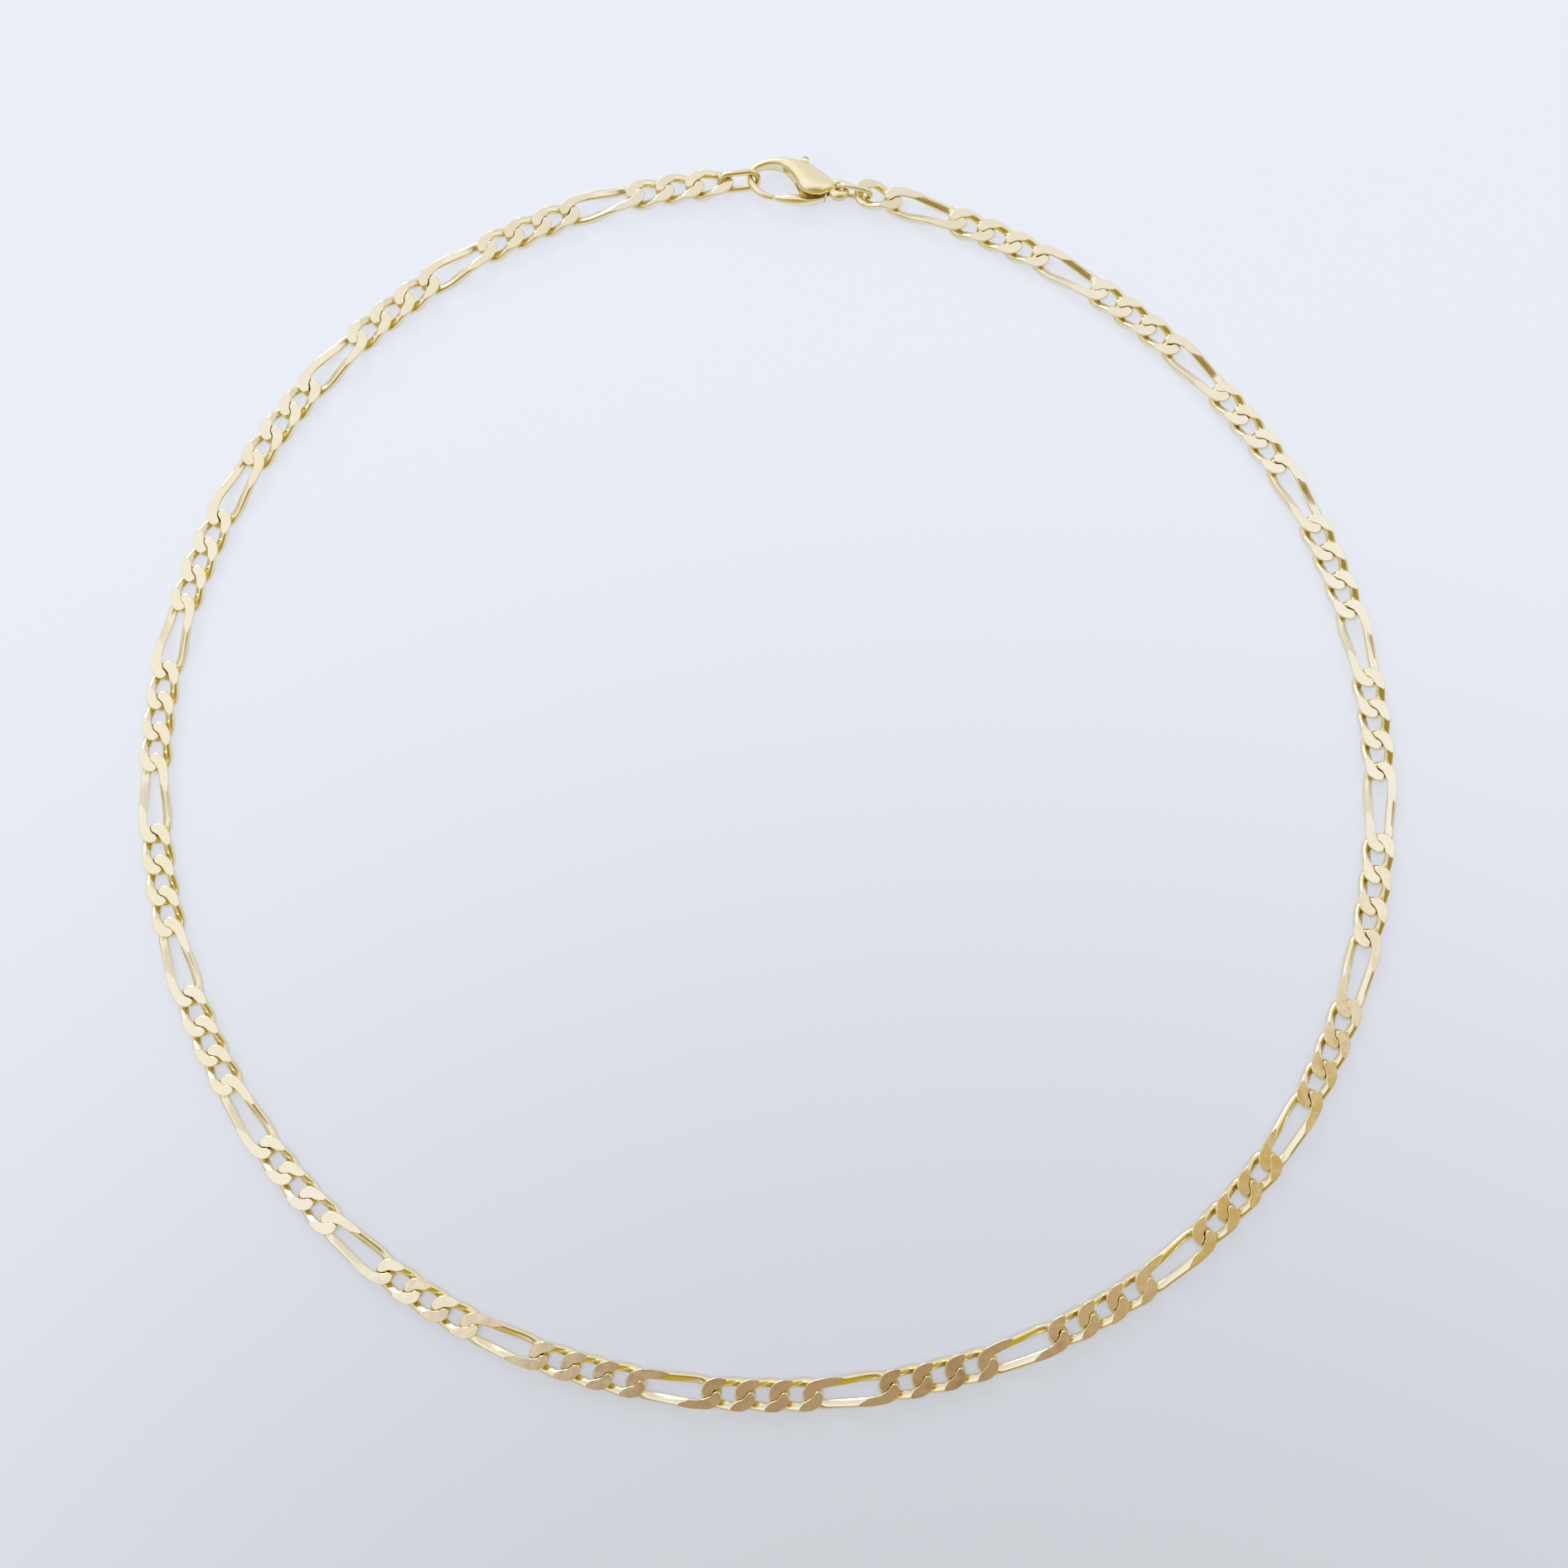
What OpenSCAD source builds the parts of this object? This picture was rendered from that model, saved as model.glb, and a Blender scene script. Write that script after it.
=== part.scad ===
// Figaro chain necklace with a lobster clasp, closed and laid in a loop on a flat surface.
// Units are millimetres, +Z is up and z = 0 is the surface that the necklace lies on.
// The origin lies under the middle of the necklace's outline, +Y points to the clasp.

/* [Loop] */
// Length of the closed necklace, measured along the middle of the chain
loop_length = 500; // [498:0.5:502]
// Room along the loop that the clasp and its two rings take
clasp_room = 19.3; // [19.2:0.05:19.4]

/* [Links] */
// Distance from the middle of a short link to the middle of the next
short_pitch = 4.12; // [4.1:0.01:4.14]
// Thickness of the chain between its ground faces
chain_height = 1.4; // [1.38:0.01:1.42]
// Width of a link over its two rounded sides
link_width = 3.96; // [3.9:0.02:4.0]
// Diameter of the wire that a link is bent from
wire_d = 1.04; // [1.0:0.01:1.06]
// Height by which a strand climbs or drops from the middle of the link
rise = 0.57; // [0.56:0.005:0.58]
// Share by which grinding has widened the wire towards the hole
spread = 0.15; // [0:0.05:0.2]

/* [Rings] */
// Wire diameter of the oval ring that the hook holds
end_ring_wire = 0.74; // [0.7:0.01:0.76]
// Wire diameter of the ring between the chain and the eye
clasp_ring_wire = 0.68; // [0.64:0.01:0.7]

/* [Clasp] */
// Thickness of the slot between the two cheeks
slot_h = 1.1; // [1.06:0.01:1.14]
// Thickness of the lever where it turns between the cheeks
lever_h = 0.96; // [0.9:0.01:0.98]
// Radius of the pin
pin_r = 0.33; // [0.3:0.01:0.36]
// Radius of the hole in the eye
eye_hole_r = 0.66; // [0.64:0.01:0.68]

/* [Hidden] */

gold = [0.87, 0.8, 0.62];
pale_gold = [0.9, 0.85, 0.7];

// The pattern of the chain: three short links, then a long one, and one short link more at its end
repeats = 22;
link_count = 4 * repeats + 1;
left_links = 45;
long_pitch = (loop_length - clasp_room - (3 * repeats + 1) * short_pitch) / repeats;

wire_r = wire_d / 2;
half_h = chain_height / 2;
half_w = link_width / 2 - wire_r;
// A tip reaches this far into the next link
reach = wire_r + 0.1;
// Half width of the tip over which the wire crosses from one face to the other
tip_w = 0.8;
// Height of the upper and lower points of the six-point section, in wire radii
section_top = 0.87;
// Depth of grinding at which the wire has widened to its full spread
full_grind = 0.38;
// Roundness of the ovals: 1 is an ellipse, less is squarer
oval_power = 0.8;
long_power = 0.4;

function clamp(v, low, high) = max(low, min(high, v));
function ease(v, w) = sin(90 * clamp(v / w, -1, 1));
function bent(v, power) = sign(v) * pow(abs(v), power);

// Route of the loop: a circle with faint waves

// [waves in a turn, cosine part, sine part]
waves = [
    [2, -0.0015, -0.0092],
    [3, 0.0014, -0.0056],
    [4, -0.0019, 0.0013],
    [5, -0.0018, 0.0030]
];
function swell(t, i = 0) =
    i == len(waves) ? 1 :
    waves[i][1] * cos(waves[i][0] * t) + waves[i][2] * sin(waves[i][0] * t) + swell(t, i + 1);
function unit_loop(t) = swell(t) * [cos(t), sin(t)];
// [length run, angle] in steps of one degree over two turns
run = [
    for (i = 0, s = 0; i <= 720; i = i + 1, s = s + norm(unit_loop(i) - unit_loop(i - 1))) [s, i]
];
loop_r = loop_length / run[360][0];
// Middle of the necklace's outline, seen from the middle of the route
outline_middle = [-0.034, 1.429];
function on_loop(s) = loop_r * unit_loop(lookup(s / loop_r, run)) - outline_middle;
function heading(s) =
    let (step = on_loop(s + 0.01) - on_loop(s - 0.01))
    atan2(step[1], step[0]);
function turned(p, angle) = [p[0] * cos(angle) - p[1] * sin(angle), p[0] * sin(angle) + p[1] * cos(angle)];

// Links

// Run length at which the chain starts, on the left of the clasp
chain_start = 129.7;
// Length over which a strand of a short link and of a long link changes its height
short_turn = 1.6;
long_turn = 3.8;
// [pitch, length over which a strand changes its height, stations round the link, roundness]
short_kind = [short_pitch, short_turn, 12, oval_power];
long_kind = [long_pitch, long_turn, 16, long_power];
function is_long(k) = k % 4 == 3;
function kind(k) = is_long(k) ? long_kind : short_kind;
// Run length at the middle of link k
function middle(k) =
    chain_start + k * short_pitch + floor(k / 4) * (long_pitch - short_pitch) + kind(k)[0] / 2;
// Stations of all links before link k
function stations_before(k) = short_kind[2] * k + floor(k / 4) * (long_kind[2] - short_kind[2]);

// The end links lie a little askew on their rings: [link, x of the end that stays down,
// angle by which the front is lifted, angle by which the inward side is lifted, height raised]
askew = [
    [0, 2.6, -5.4, -1.4, 0.135],
    [1, 0, 0, 0, 0.13],
    [2, 0, -1.05, 0.8, 0.035],
    [link_count - 2, -5, 1.57, 0.73, 0.05],
    [link_count - 1, -2.6, 6.4, 8.3, 0.25]
];
function pose(k, i = 0) =
    i == len(askew) ? [k, 0, 0, 0, 0] :
    askew[i][0] == k ? askew[i] : pose(k, i + 1);

// Middle line of the wire: an oval whose two halves lean opposite ways, so that links can lie flat
function wire_line(phi, k) =
    let (
        x = (kind(k)[0] / 2 + reach) * bent(cos(phi), kind(k)[3]),
        y = half_w * bent(sin(phi), oval_power)
    )
    [x, y, -rise * ease(x, kind(k)[1]) * ease(y, tip_w)];

// Six points round the wire, its top and bottom cut off where the chain was ground flat
function wire_section(phi, k) =
    let (
        p = wire_line(phi, k),
        step = wire_line(phi + 1, k) - wire_line(phi - 1, k),
        flat_run = norm([step[0], step[1]]),
        out = [step[1], -step[0]] / flat_run,
        tall = wire_r * norm(step) / flat_run,
        low = max(-half_h, p[2] - section_top * tall),
        high = min(half_h, p[2] + section_top * tall),
        ground = clamp((abs(p[2]) + section_top * tall - half_h) / full_grind, 0, 1),
        in = -wire_r * (1 + spread * ground),
        in_low = in * sqrt(max(0, 1 - pow((p[2] - low) / tall, 2))),
        in_high = in * sqrt(max(0, 1 - pow((high - p[2]) / tall, 2))),
        // [across, height]
        rim = [
            [wire_r, (low + high) / 2], [wire_r / 2, high], [in_high, high],
            [in, (low + high) / 2], [in_low, low], [wire_r / 2, low]
        ]
    )
    [for (q = rim) [p[0] + out[0] * q[0], p[1] + out[1] * q[0], q[1]]];

// Rolls a point of a link about its long axis, lifts its front about the end that stays down, raises it
function tilted(p, tilt) =
    let (
        rolled = turned([p[1], p[2]], tilt[3]),
        pitched = turned([p[0] - tilt[1], rolled[1]], tilt[2])
    )
    [pitched[0] + tilt[1], rolled[0], pitched[1] + tilt[4]];

function link_points(k) = [
    for (i = [0:kind(k)[2] - 1])
    for (p = wire_section(360 * i / kind(k)[2], k))
    let (q = tilted(p, pose(k)), flat = on_loop(middle(k)) + turned([q[0], q[1]], heading(middle(k))))
    [flat[0], flat[1], q[2] + half_h]
];

// Triangles between the neighbouring stations of one link
function link_faces(first, count) = [
    for (i = [0:count - 1])
    for (j = [0:5])
    let (
        here = first + 6 * i,
        next = first + 6 * ((i + 1) % count),
        up = (j + 1) % 6
    )
    each [
        [here + j, here + up, next + up],
        [here + j, next + up, next + j]
    ]
];

module links(from, to) {
    points = [for (k = [from:to]) each link_points(k)];
    faces = [
        for (k = [from:to])
        each link_faces(6 * (stations_before(k) - stations_before(from)), kind(k)[2])
    ];
    polyhedron(points = points, faces = faces, convexity = 20);
}

module chain_left() {
    color(gold)
    links(0, left_links - 1);
}

module chain_right() {
    color(gold)
    links(left_links, link_count - 1);
}

// Clasp axes: +X from the clasp to the right end of the chain, origin at the eye

// Run length at the eye, and turn of the clasp against the route there
clasp_s = 113.9;
clasp_turn = 182.0;
// The clasp lies this far outside the route
clasp_out = 0.25;

module on_clasp() {
    translate([on_loop(clasp_s)[0], on_loop(clasp_s)[1], 0])
    rotate([0, 0, heading(clasp_s) + clasp_turn])
    translate([0, -clasp_out, 0])
    children();
}

// Rings: two half circles joined by straight wire

// [x, y, z of the middle, turn in plan, lean from the flat, dip of the long axis]
end_ring_place = [-13.745, -0.45, 1.475, 14.4, 62.5, 0];
clasp_ring_place = [2.14, 0.007, 1.48, -5.15, -92.4, 0.5];
// [half length, half width] of the wire's middle line
end_ring_size = [2.69, 1.23];
clasp_ring_size = [2.31, 1.126];

module oval_ring(size, wire) {
    straight = size[0] - size[1];
    for (side = [-1, 1]) {
        translate([side * straight, 0, 0])
        rotate([0, 0, -90 * side])
        rotate_extrude(angle = 180, $fn = 48)
        translate([size[1], 0])
        circle(d = wire, $fn = 24);
        translate([-straight, side * size[1], 0])
        rotate([0, 90, 0])
        cylinder(h = 2 * straight, d = wire, $fn = 24);
    }
}

module placed_ring(place, size, wire) {
    on_clasp()
    translate([place[0], place[1], place[2]])
    rotate([0, 0, place[3]])
    rotate([0, -place[5], 0])
    rotate([place[4], 0, 0])
    oval_ring(size, wire);
}

module end_ring() {
    color(gold)
    placed_ring(end_ring_place, end_ring_size, end_ring_wire);
}

module clasp_ring() {
    color(gold)
    placed_ring(clasp_ring_place, clasp_ring_size, clasp_ring_wire);
}

// Clasp

// Height of the middle of the slot and of the lever
clasp_mid = 1.4;
pin_at = [-2.3, -0.75];
pin_low = 0.24;
pin_length = 2.1;
// The bore is blind, and its end keeps this distance from the pin
pin_end_gap = 0.03;
// The pin sits tight in the cheeks and loose in the lever
cheek_play = 0.02;
lever_play = 0.05;
// Thumb nub of the lever
nub_at = [-5.12, 3.57];
nub_r = 0.55;
// Cutters start this far below the clasp
below = 1;

// Stations along the hook and body: [inner x, inner y, outer x, outer y, height, middle height]
body_stations = [
    [-8.78, -2.06, -8.63, -2.68, 0.85, 1.42],
    [-9.5, -1.88, -9.7, -2.62, 0.92, 1.44],
    [-10.35, -1.5, -10.8, -2.28, 0.96, 1.46],
    [-11.1, -0.95, -11.72, -1.68, 1.0, 1.49],
    [-11.7, -0.3, -12.42, -0.8, 1.0, 1.5],
    [-12.0, 0.45, -12.82, 0.3, 1.0, 1.5],
    [-11.85, 1.05, -12.62, 1.45, 1.15, 1.5],
    [-11.2, 1.6, -11.85, 2.4, 1.45, 1.48],
    [-10.3, 2.0, -10.7, 3.05, 1.8, 1.44],
    [-9.4, 2.2, -9.4, 3.46, 2.1, 1.41],
    [-8.45, 2.2, -8.05, 3.64, 2.35, 1.4],
    [-7.55, 1.88, -6.75, 3.68, 2.55, 1.4],
    [-6.95, 1.4, -5.6, 3.56, 2.68, 1.4],
    [-6.4, 0.82, -4.7, 3.36, 2.76, 1.4],
    [-5.85, 0.1, -3.95, 3.14, 2.796, 1.4],
    [-5.3, -0.75, -3.3, 2.82, 2.796, 1.4],
    [-4.5, -1.25, -2.8, 2.5, 2.79, 1.4],
    [-3.5, -1.45, -2.35, 2.22, 2.75, 1.4],
    [-2.5, -1.35, -1.9, 1.92, 2.6, 1.4],
    [-1.75, -0.98, -1.45, 1.64, 2.35, 1.4],
    [-1.2, -0.6, -1.05, 1.38, 1.95, 1.39],
    [-0.8, -0.4, -0.75, 1.1, 1.5, 1.38]
];

// Stations along the outer side of the gate, same columns
gate_stations = [
    [-8.63, -2.1, -8.5, -2.68, 0.85, 1.42],
    [-7.7, -1.92, -7.75, -2.8, 1.0, 1.4],
    [-7.0, -1.75, -7.05, -2.88, 1.2, 1.4],
    [-6.3, -1.65, -6.25, -2.92, 1.36, 1.4],
    [-5.5, -1.78, -5.4, -2.9, 1.4, 1.4],
    [-4.75, -2.05, -4.6, -2.78, 1.38, 1.4],
    [-4.0, -2.17, -3.85, -2.6, 1.34, 1.4],
    [-3.25, -2.02, -3.1, -2.36, 1.28, 1.4],
    [-2.5, -1.8, -2.35, -2.06, 1.2, 1.4],
    [-1.8, -1.55, -1.65, -1.76, 1.1, 1.4]
];

// D-shaped section, flat on the inner side: [share of the width, share of the height]
d_section = [
    [0, -0.34], [0, 0.34], [0.14, 0.46], [0.42, 0.5], [0.72, 0.42], [0.93, 0.22],
    [1, 0], [0.93, -0.22], [0.72, -0.42], [0.42, -0.5], [0.14, -0.46]
];

// Smooth curve through the stations: value at place t between station floor(t) and the next
function spline(list, t) =
    let (
        i = min(floor(t), len(list) - 2),
        f = t - i,
        a = list[max(i - 1, 0)],
        b = list[i],
        c = list[i + 1],
        d = list[min(i + 2, len(list) - 1)]
    )
    b + f * ((c - a) / 2 + f * (a - 2.5 * b + 2 * c - d / 2 + f * ((d - a) / 2 + 1.5 * (b - c))));

function d_points(st) = [
    for (q = d_section)
    [st[0] + (st[2] - st[0]) * q[0], st[1] + (st[3] - st[1]) * q[0], st[5] + st[4] * q[1]]
];

// Body swept through the stations, with two spans between each pair; flip says which side is out
module sweep(stations, flip) {
    n = len(d_section);
    count = 2 * (len(stations) - 1) + 1;
    points = [for (i = [0:count - 1]) each d_points(spline(stations, i / 2))];
    sides = [
        for (i = [0:count - 2])
        for (j = [0:n - 1])
        let (here = n * i, next = n * (i + 1), up = (j + 1) % n)
        each [
            [here + j, here + up, next + up],
            [here + j, next + up, next + j]
        ]
    ];
    first = [for (j = [n - 1:-1:0]) j];
    last = [for (j = [0:n - 1]) n * (count - 1) + j];
    all = concat(sides, [first, last]);
    faces = flip ? [for (f = all) [for (j = [len(f) - 1:-1:0]) f[j]]] : all;
    polyhedron(points = points, faces = faces, convexity = 8);
}

// Room between the cheeks: open to the gate, to the inside of the hook and to the thumb nub
slot_outline = [
    [-1.25, -3.2], [-1.2, -0.4], [-1.85, 1.2], [-2.35, 2.6], [-2.3, 4.8], [-6.05, 4.8],
    [-6.0, 3.1], [-6.9, 2.75], [-7.7, 2.4], [-8.3, 1.9], [-8.3, -3.2]
];

// Plate of the lever: gate side at the left, thumb arm at the top, hub at the right
lever_outline = [
    [-6.0, -2.4], [-6.1, -1.8], [-5.3, -1.5], [-4.9, -0.9], [-4.95, 0.4], [-5.35, 2.0],
    [-5.66, 3.5], [-4.58, 3.5], [-3.9, 2.2], [-3.0, 1.0], [-1.95, 0.1], [-1.5, -0.4],
    [-1.45, -1.0], [-1.6, -1.6], [-2.4, -1.9], [-3.3, -2.2], [-4.6, -2.6]
];

// Profile of the eye: [distance from its middle, height]
eye_profile = [
    [0, 0.84], [1.22, 0.84], [1.4, 1.02], [1.4, 1.82], [1.22, 2.0], [0, 2.0]
];
eye_at = [0.05, 0.05];
eye_hole_at = [0.05, 0.2];

module clasp_body() {
    color(pale_gold)
    on_clasp()
    difference() {
        union() {
            sweep(body_stations, false);
            translate([eye_at[0], eye_at[1], 0])
            rotate_extrude($fn = 64)
            polygon(eye_profile);
        }
        translate([eye_hole_at[0], eye_hole_at[1], 0])
        cylinder(h = 2 * clasp_mid, r = eye_hole_r, $fn = 48);
        translate([0, 0, clasp_mid - slot_h / 2])
        linear_extrude(height = slot_h)
        polygon(slot_outline);
        translate([pin_at[0], pin_at[1], -below])
        cylinder(h = below + pin_low + pin_length + pin_end_gap, r = pin_r + cheek_play, $fn = 32);
    }
}

module clasp_lever() {
    color(pale_gold)
    on_clasp()
    difference() {
        union() {
            sweep(gate_stations, true);
            translate([0, 0, clasp_mid - lever_h / 2])
            linear_extrude(height = lever_h)
            polygon(lever_outline);
            translate([nub_at[0], nub_at[1], clasp_mid - lever_h / 2])
            cylinder(h = lever_h, r = nub_r, $fn = 32);
        }
        translate([pin_at[0], pin_at[1], -below])
        cylinder(h = below + 2 * clasp_mid, r = pin_r + lever_play, $fn = 32);
    }
}

module clasp_pin() {
    color(gold)
    on_clasp()
    translate([pin_at[0], pin_at[1], pin_low])
    cylinder(h = pin_length, r = pin_r, $fn = 32);
}

chain_left();
chain_right();
end_ring();
clasp_ring();
clasp_body();
clasp_lever();
clasp_pin();
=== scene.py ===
# %% [markdown]
# # A flat Figaro chain with a lobster clasp
#
# The necklace lies closed on a pale surface. Its chain repeats three short links and one long link,
# all ground flat on both faces, so every link shows bright flat fields beside rounded wire.
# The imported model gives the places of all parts. Here they get the form and finish of jewellery.

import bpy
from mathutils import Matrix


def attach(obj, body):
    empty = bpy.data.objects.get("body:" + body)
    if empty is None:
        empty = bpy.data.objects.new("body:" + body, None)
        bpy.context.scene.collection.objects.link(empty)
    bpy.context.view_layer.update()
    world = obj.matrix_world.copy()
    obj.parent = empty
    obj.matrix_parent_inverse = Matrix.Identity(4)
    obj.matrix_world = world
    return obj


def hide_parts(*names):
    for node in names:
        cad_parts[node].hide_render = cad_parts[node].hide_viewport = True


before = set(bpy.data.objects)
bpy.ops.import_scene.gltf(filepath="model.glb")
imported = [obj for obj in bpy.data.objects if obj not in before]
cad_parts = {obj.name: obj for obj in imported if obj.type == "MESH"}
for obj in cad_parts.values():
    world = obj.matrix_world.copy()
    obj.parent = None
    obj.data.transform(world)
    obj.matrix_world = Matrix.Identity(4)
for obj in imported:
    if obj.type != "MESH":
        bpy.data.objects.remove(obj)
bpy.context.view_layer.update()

# %% [markdown]
# ## Working size
#
# Wire of one millimetre is tiny for Blender, whose mesh tools take points a tenth of a millimetre
# apart for one. So each piece is modelled with one unit as one millimetre, and is brought to metres
# at the end. An operator acts on all that is selected, so everything is deselected before a new
# primitive is added. Vertices and faces are then picked by their place, as the eye would pick them.

# %% Helpers for modelling by operators
import math
import bpy
from mathutils import Matrix, Vector

MM = 0.001


def nothing_selected():
    if bpy.context.object and bpy.context.object.mode != "OBJECT":
        bpy.ops.object.mode_set(mode="OBJECT")
    bpy.ops.object.select_all(action="DESELECT")


def pick(piece):
    nothing_selected()
    piece.select_set(True)
    bpy.context.view_layer.objects.active = piece


def edit_all(piece):
    """Edit mode with everything selected."""
    pick(piece)
    bpy.ops.object.mode_set(mode="EDIT")
    bpy.ops.mesh.select_all(action="SELECT")


def select_parts(piece, kind, test):
    """Edit mode with the vertices, edges or faces selected for which test is true."""
    pick(piece)
    bpy.ops.object.mode_set(mode="EDIT")
    bpy.ops.mesh.select_mode(type=kind)
    bpy.ops.mesh.select_all(action="DESELECT")
    bpy.ops.object.mode_set(mode="OBJECT")
    parts = {"VERT": piece.data.vertices, "EDGE": piece.data.edges, "FACE": piece.data.polygons}[kind]
    found = 0
    for part in parts:
        part.select = bool(test(part))
        found += part.select
    bpy.ops.object.mode_set(mode="EDIT")
    return found


def to_metres(piece):
    """Brings a finished piece from millimetres to metres, with its place in its mesh."""
    pick(piece)
    bpy.ops.object.transform_apply(location=True, rotation=True, scale=True)
    piece.scale = (MM, MM, MM)
    bpy.ops.object.transform_apply(location=False, rotation=False, scale=True)
    return piece


def spin(axis, degrees):
    return Matrix.Rotation(math.radians(degrees), 4, axis)


def shift(x, y, z):
    return Matrix.Translation((x, y, z))


# %% [markdown]
# ## The route of the loop
#
# A chain that is laid out by hand is never a perfect circle. Its route could be drawn as a curve.
# Here it is a circle with four faint waves in its radius, because links need to be placed by the
# length run along the loop, as on a tape measure, and a rule gives that length for every place.
# The tape is two turns long, because the chain starts in one turn and ends in the next.

# %% Route of the loop, in millimetres
LOOP_LENGTH = 500.0
OUTLINE_MIDDLE = (-0.034, 1.429)
# Waves in a turn, cosine part, sine part
WAVES = [(2, -0.0015, -0.0092), (3, 0.0014, -0.0056), (4, -0.0019, 0.0013), (5, -0.0018, 0.0030)]
TURN = 360
TAPE = 2 * TURN


def unit_loop(degrees):
    t = math.radians(degrees)
    swell = 1 + sum(c * math.cos(n * t) + s * math.sin(n * t) for n, c, s in WAVES)
    return Vector((swell * math.cos(t), swell * math.sin(t)))


run = [0.0]
for step in range(1, TAPE + 1):
    run.append(run[-1] + (unit_loop(step) - unit_loop(step - 1)).length)
LOOP_R = LOOP_LENGTH / run[TURN]


def on_loop(length):
    target = length / LOOP_R
    step = next(i for i in range(1, TAPE + 1) if run[i] >= target)
    part = (target - run[step - 1]) / (run[step] - run[step - 1])
    return LOOP_R * unit_loop(step - 1 + part) - Vector(OUTLINE_MIDDLE)


def heading(length):
    nearby = 0.01
    ahead = on_loop(length + nearby) - on_loop(length - nearby)
    return math.degrees(math.atan2(ahead.y, ahead.x))


print("radius of the loop in mm:", round(LOOP_R, 3))

# %% [markdown]
# ## The camera
#
# The picture is taken from a hand's height above the table, tipped a little, with a wide lens.
# Its place and angles could be set by eye. Here they were fitted to the outline of the loop, so that
# the whole of it stays in the frame, with more room at the bottom than at the top.

# %% Camera
CAMERA_PLACE = (0.005274, -0.036849, 0.20114)
CAMERA_TIP, CAMERA_LEAN = 9.0566, 0.7525

camera = bpy.data.objects.new("camera", bpy.data.cameras.new("camera"))
bpy.context.scene.collection.objects.link(camera)
camera.data.lens = 36
camera.data.sensor_width = 36
camera.data.clip_start = 0.005
camera.data.clip_end = 20
camera.location = CAMERA_PLACE
camera.rotation_euler = (math.radians(CAMERA_TIP), math.radians(CAMERA_LEAN), 0)
bpy.context.scene.camera = camera
bpy.context.scene.view_settings.view_transform = "Standard"
print("camera height in mm:", camera.location.z * 1000)

# %% [markdown]
# ## Tone of the gold
#
# Real gold plate isn't even. Its tone drifts from pale to warm over a centimetre or two. This could
# be painted, but a soft noise in the object's own space does it without any unwrapping. All metal
# here needs it, so it is a node group with named inputs that every material fills in its own way.

# %% Node group: tone of the gold
# Places of the colour sockets among all inputs and outputs of a Mix node
MIX_SHARE, MIX_FIRST, MIX_SECOND, MIX_RESULT = 0, 6, 7, 2


def new_group(name, inputs, outputs):
    group = bpy.data.node_groups.new(name, "ShaderNodeTree")
    for socket, kind, value in inputs:
        made = group.interface.new_socket(name=socket, in_out="INPUT", socket_type=kind)
        if value is not None:
            made.default_value = value
    for socket, kind in outputs:
        group.interface.new_socket(name=socket, in_out="OUTPUT", socket_type=kind)
    return group, group.nodes.new("NodeGroupInput"), group.nodes.new("NodeGroupOutput")


def give(tree, value, socket):
    """Sets a socket to a number or colour, or links it to another socket."""
    if isinstance(value, (int, float, tuple)):
        socket.default_value = value
    else:
        tree.links.new(value, socket)


def ranged(tree, value, low, high, to_low, to_high, run_type="LINEAR"):
    node = tree.nodes.new("ShaderNodeMapRange")
    node.interpolation_type = run_type
    sockets = ("Value", "From Min", "From Max", "To Min", "To Max")
    for name, given in zip(sockets, (value, low, high, to_low, to_high)):
        give(tree, given, node.inputs[name])
    return node.outputs["Result"]


def mixed(tree, share_socket, first, second):
    node = tree.nodes.new("ShaderNodeMix")
    node.data_type = "RGBA"
    give(tree, share_socket, node.inputs[MIX_SHARE])
    give(tree, first, node.inputs[MIX_FIRST])
    give(tree, second, node.inputs[MIX_SECOND])
    return node.outputs[MIX_RESULT]


def noise(tree, vector, scale, detail):
    node = tree.nodes.new("ShaderNodeTexNoise")
    give(tree, scale, node.inputs["Scale"])
    give(tree, detail, node.inputs["Detail"])
    give(tree, vector, node.inputs["Vector"])
    return node.outputs["Fac"]


# The part of a noise's range in which most of it lies
NOISE_LOW, NOISE_HIGH = 0.35, 0.65

tone, tone_in, tone_out = new_group(
    "Gold tone",
    [("Vector", "NodeSocketVector", None), ("Pale", "NodeSocketColor", (0.9, 0.8, 0.6, 1)),
     ("Warm", "NodeSocketColor", (0.8, 0.65, 0.4, 1)), ("Patch size", "NodeSocketFloat", 60.0)],
    [("Color", "NodeSocketColor")])
patches = noise(tone, tone_in.outputs["Vector"], tone_in.outputs["Patch size"], 3.0)
drift = ranged(tone, patches, NOISE_LOW, NOISE_HIGH, 0.0, 1.0)
tone.links.new(mixed(tone, drift, tone_in.outputs["Pale"], tone_in.outputs["Warm"]),
               tone_out.inputs["Color"])

# %% [markdown]
# ## Painted shade in the crevices
#
# Where links lie in one another, light bounces from gold to gold and comes out a deeper yellow.
# This is painted shade: such places could be painted as a mask, but an ambient occlusion node finds
# them by itself, and a darker gold is mixed into the base colour there. It is given a short reach,
# less than the width of a link, so that the open faces keep their pale tone.

# %% Node group: painted shade in the crevices
crevice_shade, crevice_shade_in, crevice_shade_out = new_group(
    "Painted crevice shade",
    [("Color", "NodeSocketColor", None), ("Deep color", "NodeSocketColor", (0.6, 0.4, 0.1, 1)),
     ("Reach", "NodeSocketFloat", 0.0008)],
    [("Color", "NodeSocketColor")])
hollow = crevice_shade.nodes.new("ShaderNodeAmbientOcclusion")
hollow.samples = 6
crevice_shade.links.new(crevice_shade_in.outputs["Reach"], hollow.inputs["Distance"])
# Openness at which the painted shade is at its most and at which it ends, and how much of it there is
CLOSED, OPEN, MOST_SHADE = 0.3, 0.85, 0.85
shade_share = ranged(crevice_shade, hollow.outputs["AO"], CLOSED, OPEN, MOST_SHADE, 0.0)
crevice_shade.links.new(mixed(crevice_shade, shade_share, crevice_shade_in.outputs["Color"], crevice_shade_in.outputs["Deep color"]),
               crevice_shade_out.inputs["Color"])

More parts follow.
